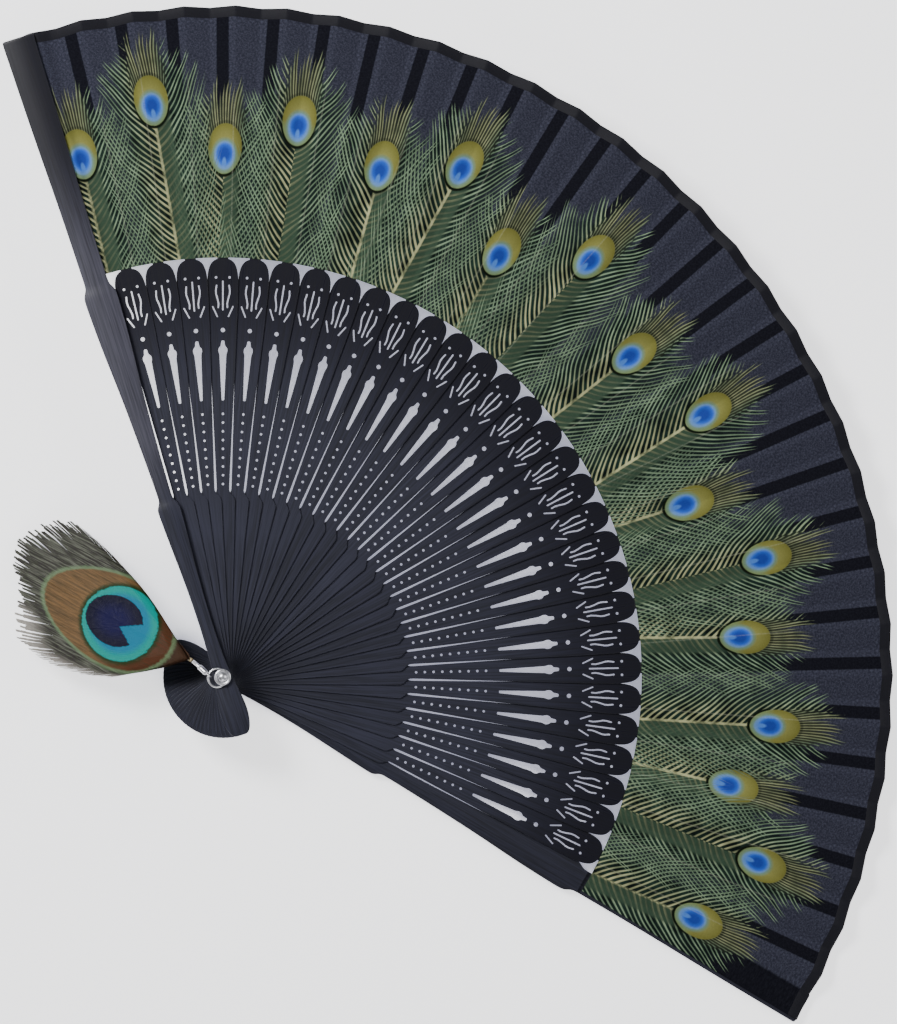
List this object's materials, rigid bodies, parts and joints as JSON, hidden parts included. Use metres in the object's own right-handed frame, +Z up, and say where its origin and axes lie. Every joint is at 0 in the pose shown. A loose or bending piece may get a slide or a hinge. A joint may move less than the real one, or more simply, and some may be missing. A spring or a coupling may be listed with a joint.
{
  "type": "dance fan",
  "caption": "Folding hand fan, spread open: pierced ribs and guards on one rivet, a pleated printed leaf, and a feather charm on a jump ring.",
  "frame": {"origin": "centre of the rivet foot's flat underside, on the rivet's axis, where the open fan lies on a table", "axes": "+Z up along the rivet's axis, out of the printed face; +Y up the middle of the open fan; +X across it, towards the rear guard"},
  "size_m": [0.3616, 0.2311, 0.0256],
  "materials": {
    "guard_wood": "dark stained bamboo, satin",
    "rib_wood": "dark stained bamboo, satin, pierced",
    "leaf_cloth": "fine printed cloth",
    "binding_tape": "black tape",
    "silver_metal": "bright plated",
    "quill_horn": "natural quill",
    "feather_barbs": "iridescent feather barbs"
  },
  "bodies": {
    "front_guard": {"front_guard": "guard_wood", "rivet_pin": "silver_metal", "rear_washer": "silver_metal", "front_washer": "silver_metal", "leaf": "leaf_cloth", "leaf_binding": "binding_tape"},
    "rib_01": {"rib_01": "rib_wood"},
    "rib_02": {"rib_02": "rib_wood"},
    "rib_03": {"rib_03": "rib_wood"},
    "rib_04": {"rib_04": "rib_wood"},
    "rib_05": {"rib_05": "rib_wood"},
    "rib_06": {"rib_06": "rib_wood"},
    "rib_07": {"rib_07": "rib_wood"},
    "rib_08": {"rib_08": "rib_wood"},
    "rib_09": {"rib_09": "rib_wood"},
    "rib_10": {"rib_10": "rib_wood"},
    "rib_11": {"rib_11": "rib_wood"},
    "rib_12": {"rib_12": "rib_wood"},
    "rib_13": {"rib_13": "rib_wood"},
    "rib_14": {"rib_14": "rib_wood"},
    "rib_15": {"rib_15": "rib_wood"},
    "rib_16": {"rib_16": "rib_wood"},
    "rib_17": {"rib_17": "rib_wood"},
    "rib_18": {"rib_18": "rib_wood"},
    "rib_19": {"rib_19": "rib_wood"},
    "rib_20": {"rib_20": "rib_wood"},
    "rib_21": {"rib_21": "rib_wood"},
    "rib_22": {"rib_22": "rib_wood"},
    "rib_23": {"rib_23": "rib_wood"},
    "rib_24": {"rib_24": "rib_wood"},
    "rib_25": {"rib_25": "rib_wood"},
    "rib_26": {"rib_26": "rib_wood"},
    "rib_27": {"rib_27": "rib_wood"},
    "rib_28": {"rib_28": "rib_wood"},
    "rib_29": {"rib_29": "rib_wood"},
    "rib_30": {"rib_30": "rib_wood"},
    "rear_guard": {"rear_guard": "guard_wood"},
    "charm": {"jump_ring": "silver_metal", "feather_crimp": "silver_metal", "feather_quill": "quill_horn", "feather_vane": "feather_barbs"}
  },
  "joints": [
    {"name": "fold_01", "type": "hinge", "parent": "front_guard", "child": "rib_01", "pos_m": [0, 0, 0], "axis": [0, 0, 1], "range_deg": [0, 4.44], "deforming": ["leaf", "leaf_binding"]},
    {"name": "fold_02", "type": "hinge", "parent": "rib_01", "child": "rib_02", "pos_m": [0, 0, 0], "axis": [0, 0, 1], "range_deg": [0, 4.44]},
    {"name": "fold_03", "type": "hinge", "parent": "rib_02", "child": "rib_03", "pos_m": [0, 0, 0], "axis": [0, 0, 1], "range_deg": [0, 4.44]},
    {"name": "fold_04", "type": "hinge", "parent": "rib_03", "child": "rib_04", "pos_m": [0, 0, 0], "axis": [0, 0, 1], "range_deg": [0, 4.44]},
    {"name": "fold_05", "type": "hinge", "parent": "rib_04", "child": "rib_05", "pos_m": [0, 0, 0], "axis": [0, 0, 1], "range_deg": [0, 4.44]},
    {"name": "fold_06", "type": "hinge", "parent": "rib_05", "child": "rib_06", "pos_m": [0, 0, 0], "axis": [0, 0, 1], "range_deg": [0, 4.44]},
    {"name": "fold_07", "type": "hinge", "parent": "rib_06", "child": "rib_07", "pos_m": [0, 0, 0], "axis": [0, 0, 1], "range_deg": [0, 4.44]},
    {"name": "fold_08", "type": "hinge", "parent": "rib_07", "child": "rib_08", "pos_m": [0, 0, 0], "axis": [0, 0, 1], "range_deg": [0, 4.44]},
    {"name": "fold_09", "type": "hinge", "parent": "rib_08", "child": "rib_09", "pos_m": [0, 0, 0], "axis": [0, 0, 1], "range_deg": [0, 4.44]},
    {"name": "fold_10", "type": "hinge", "parent": "rib_09", "child": "rib_10", "pos_m": [0, 0, 0], "axis": [0, 0, 1], "range_deg": [0, 4.44]},
    {"name": "fold_11", "type": "hinge", "parent": "rib_10", "child": "rib_11", "pos_m": [0, 0, 0], "axis": [0, 0, 1], "range_deg": [0, 4.44]},
    {"name": "fold_12", "type": "hinge", "parent": "rib_11", "child": "rib_12", "pos_m": [0, 0, 0], "axis": [0, 0, 1], "range_deg": [0, 4.44]},
    {"name": "fold_13", "type": "hinge", "parent": "rib_12", "child": "rib_13", "pos_m": [0, 0, 0], "axis": [0, 0, 1], "range_deg": [0, 4.44]},
    {"name": "fold_14", "type": "hinge", "parent": "rib_13", "child": "rib_14", "pos_m": [0, 0, 0], "axis": [0, 0, 1], "range_deg": [0, 4.44]},
    {"name": "fold_15", "type": "hinge", "parent": "rib_14", "child": "rib_15", "pos_m": [0, 0, 0], "axis": [0, 0, 1], "range_deg": [0, 4.44]},
    {"name": "fold_16", "type": "hinge", "parent": "rib_15", "child": "rib_16", "pos_m": [0, 0, 0], "axis": [0, 0, 1], "range_deg": [0, 4.44]},
    {"name": "fold_17", "type": "hinge", "parent": "rib_16", "child": "rib_17", "pos_m": [0, 0, 0], "axis": [0, 0, 1], "range_deg": [0, 4.44]},
    {"name": "fold_18", "type": "hinge", "parent": "rib_17", "child": "rib_18", "pos_m": [0, 0, 0], "axis": [0, 0, 1], "range_deg": [0, 4.44]},
    {"name": "fold_19", "type": "hinge", "parent": "rib_18", "child": "rib_19", "pos_m": [0, 0, 0], "axis": [0, 0, 1], "range_deg": [0, 4.44]},
    {"name": "fold_20", "type": "hinge", "parent": "rib_19", "child": "rib_20", "pos_m": [0, 0, 0], "axis": [0, 0, 1], "range_deg": [0, 4.44]},
    {"name": "fold_21", "type": "hinge", "parent": "rib_20", "child": "rib_21", "pos_m": [0, 0, 0], "axis": [0, 0, 1], "range_deg": [0, 4.44]},
    {"name": "fold_22", "type": "hinge", "parent": "rib_21", "child": "rib_22", "pos_m": [0, 0, 0], "axis": [0, 0, 1], "range_deg": [0, 4.44]},
    {"name": "fold_23", "type": "hinge", "parent": "rib_22", "child": "rib_23", "pos_m": [0, 0, 0], "axis": [0, 0, 1], "range_deg": [0, 4.44]},
    {"name": "fold_24", "type": "hinge", "parent": "rib_23", "child": "rib_24", "pos_m": [0, 0, 0], "axis": [0, 0, 1], "range_deg": [0, 4.44]},
    {"name": "fold_25", "type": "hinge", "parent": "rib_24", "child": "rib_25", "pos_m": [0, 0, 0], "axis": [0, 0, 1], "range_deg": [0, 4.44]},
    {"name": "fold_26", "type": "hinge", "parent": "rib_25", "child": "rib_26", "pos_m": [0, 0, 0], "axis": [0, 0, 1], "range_deg": [0, 4.44]},
    {"name": "fold_27", "type": "hinge", "parent": "rib_26", "child": "rib_27", "pos_m": [0, 0, 0], "axis": [0, 0, 1], "range_deg": [0, 4.44]},
    {"name": "fold_28", "type": "hinge", "parent": "rib_27", "child": "rib_28", "pos_m": [0, 0, 0], "axis": [0, 0, 1], "range_deg": [0, 4.44]},
    {"name": "fold_29", "type": "hinge", "parent": "rib_28", "child": "rib_29", "pos_m": [0, 0, 0], "axis": [0, 0, 1], "range_deg": [0, 4.44]},
    {"name": "fold_30", "type": "hinge", "parent": "rib_29", "child": "rib_30", "pos_m": [0, 0, 0], "axis": [0, 0, 1], "range_deg": [0, 4.44]},
    {"name": "fold_31", "type": "hinge", "parent": "rib_30", "child": "rear_guard", "pos_m": [0, 0, 0], "axis": [0, 0, 1], "range_deg": [0, 4.44]},
    {"name": "charm_swing", "type": "hinge", "parent": "front_guard", "child": "charm", "pos_m": [0, 0, 0.02395], "axis": [0, 0, 1], "range_deg": [-12, 50]}
  ],
  "couplings": [
    {"joint": "fold_02", "follows": "fold_01", "ratio": 1},
    {"joint": "fold_03", "follows": "fold_01", "ratio": 1},
    {"joint": "fold_04", "follows": "fold_01", "ratio": 1},
    {"joint": "fold_05", "follows": "fold_01", "ratio": 1},
    {"joint": "fold_06", "follows": "fold_01", "ratio": 1},
    {"joint": "fold_07", "follows": "fold_01", "ratio": 1},
    {"joint": "fold_08", "follows": "fold_01", "ratio": 1},
    {"joint": "fold_09", "follows": "fold_01", "ratio": 1},
    {"joint": "fold_10", "follows": "fold_01", "ratio": 1},
    {"joint": "fold_11", "follows": "fold_01", "ratio": 1},
    {"joint": "fold_12", "follows": "fold_01", "ratio": 1},
    {"joint": "fold_13", "follows": "fold_01", "ratio": 1},
    {"joint": "fold_14", "follows": "fold_01", "ratio": 1},
    {"joint": "fold_15", "follows": "fold_01", "ratio": 1},
    {"joint": "fold_16", "follows": "fold_01", "ratio": 1},
    {"joint": "fold_17", "follows": "fold_01", "ratio": 1},
    {"joint": "fold_18", "follows": "fold_01", "ratio": 1},
    {"joint": "fold_19", "follows": "fold_01", "ratio": 1},
    {"joint": "fold_20", "follows": "fold_01", "ratio": 1},
    {"joint": "fold_21", "follows": "fold_01", "ratio": 1},
    {"joint": "fold_22", "follows": "fold_01", "ratio": 1},
    {"joint": "fold_23", "follows": "fold_01", "ratio": 1},
    {"joint": "fold_24", "follows": "fold_01", "ratio": 1},
    {"joint": "fold_25", "follows": "fold_01", "ratio": 1},
    {"joint": "fold_26", "follows": "fold_01", "ratio": 1},
    {"joint": "fold_27", "follows": "fold_01", "ratio": 1},
    {"joint": "fold_28", "follows": "fold_01", "ratio": 1},
    {"joint": "fold_29", "follows": "fold_01", "ratio": 1},
    {"joint": "fold_30", "follows": "fold_01", "ratio": 1},
    {"joint": "fold_31", "follows": "fold_01", "ratio": 1}
  ]
}
